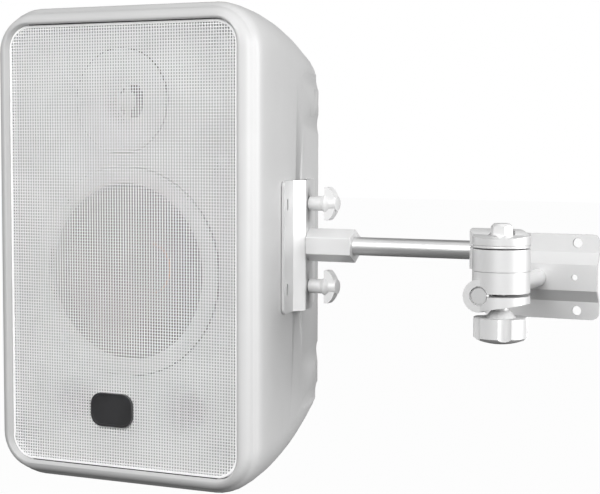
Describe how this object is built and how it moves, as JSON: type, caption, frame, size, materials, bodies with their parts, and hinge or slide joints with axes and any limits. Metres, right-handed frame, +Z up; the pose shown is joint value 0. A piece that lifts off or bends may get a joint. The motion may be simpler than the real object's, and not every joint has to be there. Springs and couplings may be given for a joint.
{
  "type": "loudspeaker",
  "caption": "Compact two-way wall loudspeaker with a square-mesh grille, on a swivel arm that pans, rolls and tilts from a wall plate.",
  "frame": {"origin": "centre of the wall plate's four screw holes, on the wall's plane", "axes": "+X to the right as seen from the room, +Y into the wall, +Z up"},
  "size_m": [0.2805, 0.1608, 0.242],
  "materials": {
    "white_plastic": "fine satin moulding",
    "grille_metal": "white powder coat",
    "badge_black": "gloss with a bright rim",
    "zinc_steel": "zinc plated",
    "brass": "turned",
    "dark_rubber": "matt",
    "cone_paper": "pressed fibre",
    "spider_cloth": "resin-dipped cloth",
    "copper": "enamelled wire",
    "ferrite": "sintered",
    "dark_plastic": "satin",
    "circuit_board": "solder mask",
    "red_plastic": "satin",
    "ceramic": "cast ceramic",
    "white_metal": "smooth white powder coat",
    "rod_steel": "satin nickel",
    "white_nylon": "smooth moulding"
  },
  "bodies": {
    "wall_mount": {"wall_plate": "white_metal", "wall_rod": "rod_steel"},
    "lower_clamp": {"clamp_lower_block": "white_metal"},
    "upper_clamp": {"clamp_upper_block": "white_metal", "clamp_bolt": "rod_steel", "clamp_washer": "rod_steel"},
    "clamp_knob": {"clamp_knob": "white_nylon", "clamp_knob_insert": "brass"},
    "thumb_screw_upper": {"thumb_knob_upper": "white_nylon", "thumb_stud_upper": "zinc_steel"},
    "thumb_screw_lower": {"thumb_knob_lower": "white_nylon", "thumb_stud_lower": "zinc_steel"},
    "woofer_cone": {"woofer_cone": "cone_paper", "woofer_dust_cap": "cone_paper", "woofer_voice_coil": "copper", "woofer_surround": "dark_rubber", "woofer_spider": "spider_cloth"},
    "tweeter_dome": {"tweeter_dome": "dark_plastic"},
    "lever_red": {"terminal_lever_red": "red_plastic"},
    "lever_black": {"terminal_lever_black": "dark_plastic"},
    "speaker": {"front_baffle": "white_plastic", "rear_shell": "white_plastic", "grille": "grille_metal", "badge": "badge_black", "cabinet_screws": "zinc_steel", "bracket_inserts": "brass", "woofer_basket": "white_plastic", "woofer_gasket": "dark_rubber", "woofer_top_plate": "zinc_steel", "woofer_magnet": "ferrite", "woofer_yoke": "zinc_steel", "woofer_screws": "zinc_steel", "tweeter_faceplate": "white_plastic", "tweeter_phase_plug": "white_plastic", "tweeter_top_plate": "zinc_steel", "tweeter_magnet": "ferrite", "tweeter_yoke": "zinc_steel", "tweeter_screws": "zinc_steel", "port_tube_left": "white_plastic", "port_tube_right": "white_plastic", "crossover_board": "circuit_board", "crossover_coils": "copper", "crossover_capacitors": "red_plastic", "crossover_resistor": "ceramic", "board_screws": "zinc_steel", "terminal_cup": "dark_plastic", "terminal_screws": "zinc_steel", "speaker_bracket": "white_metal", "hex_socket": "white_metal", "arm_rod": "rod_steel"}
  },
  "joints": [
    {"name": "roll_on_wall_rod", "type": "hinge", "parent": "wall_mount", "child": "lower_clamp", "pos_m": [0, -0.10245, -0.0008], "axis": [0, 1, 0], "range_deg": [-90, 90]},
    {"name": "pan_on_clamp_bolt", "type": "hinge", "parent": "lower_clamp", "child": "upper_clamp", "pos_m": [0.00745, -0.10245, 0.0109], "axis": [0, 0, 1], "range_deg": [-2, 90]},
    {"name": "tilt_on_arm_rod", "type": "hinge", "parent": "upper_clamp", "child": "speaker", "pos_m": [0, -0.095, 0.0198], "axis": [1, 0, 0], "range_deg": [-7, 7]},
    {"name": "clamp_knob_turn", "type": "hinge", "parent": "upper_clamp", "child": "clamp_knob", "pos_m": [0.00745, -0.10245, -0.0158], "axis": [0, 0, 1], "continuous": true},
    {"name": "thumb_upper_turn", "type": "hinge", "parent": "speaker", "child": "thumb_screw_upper", "pos_m": [-0.088, -0.095, 0.0412], "axis": [1, 0, 0], "continuous": true},
    {"name": "thumb_lower_turn", "type": "hinge", "parent": "speaker", "child": "thumb_screw_lower", "pos_m": [-0.088, -0.095, -0.0016], "axis": [1, 0, 0], "continuous": true},
    {"name": "woofer_cone_travel", "type": "slide", "parent": "speaker", "child": "woofer_cone", "axis": [0, -1, 0], "range_m": [-0.003, 0.003], "stiffness_N_per_m": 1500, "deforming": ["woofer_surround", "woofer_spider"]},
    {"name": "tweeter_dome_travel", "type": "slide", "parent": "speaker", "child": "tweeter_dome", "axis": [0, -1, 0], "range_m": [-0.0003, 0.0003], "stiffness_N_per_m": 2000},
    {"name": "lever_red_press", "type": "hinge", "parent": "speaker", "child": "lever_red", "pos_m": [-0.182, -0.02, -0.0332], "axis": [1, 0, 0], "range_deg": [0, 18], "stiffness_Nm_per_rad": 0.05},
    {"name": "lever_black_press", "type": "hinge", "parent": "speaker", "child": "lever_black", "pos_m": [-0.164, -0.02, -0.0332], "axis": [1, 0, 0], "range_deg": [0, 18], "stiffness_Nm_per_rad": 0.05}
  ]
}
